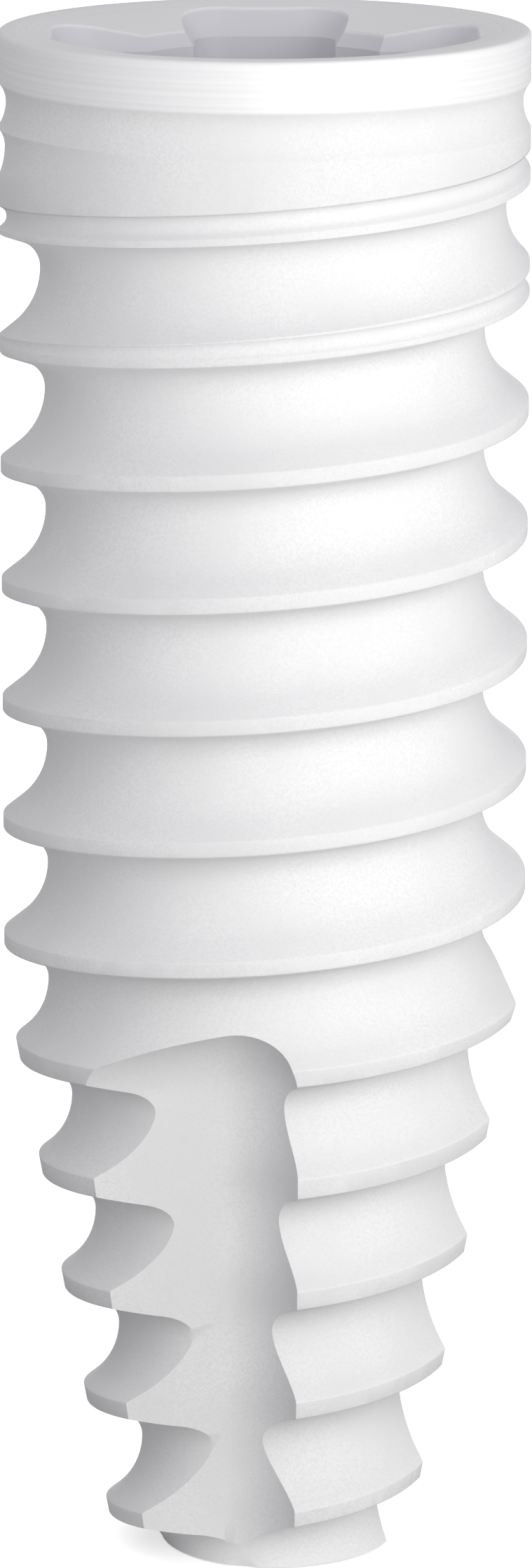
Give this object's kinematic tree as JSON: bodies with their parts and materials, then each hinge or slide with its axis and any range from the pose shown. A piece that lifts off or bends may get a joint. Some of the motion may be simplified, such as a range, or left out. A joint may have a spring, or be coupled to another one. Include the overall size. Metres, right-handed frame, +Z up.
{
  "type": "dental implant",
  "caption": "Tapered one-piece ceramic screw for anchoring a tooth crown in jaw bone, with cutting flutes and a cross-shaped internal socket.",
  "frame": {"origin": "centre of the flat apex, at the very bottom", "axes": "+Z up along the screw's axis to the platform, -Y towards the flute that faces the camera"},
  "size_m": [0.0044, 0.0042, 0.0127],
  "materials": {
    "zirconia": "satin"
  },
  "bodies": {
    "root": {"implant_body": "zirconia"}
  },
  "joints": []
}
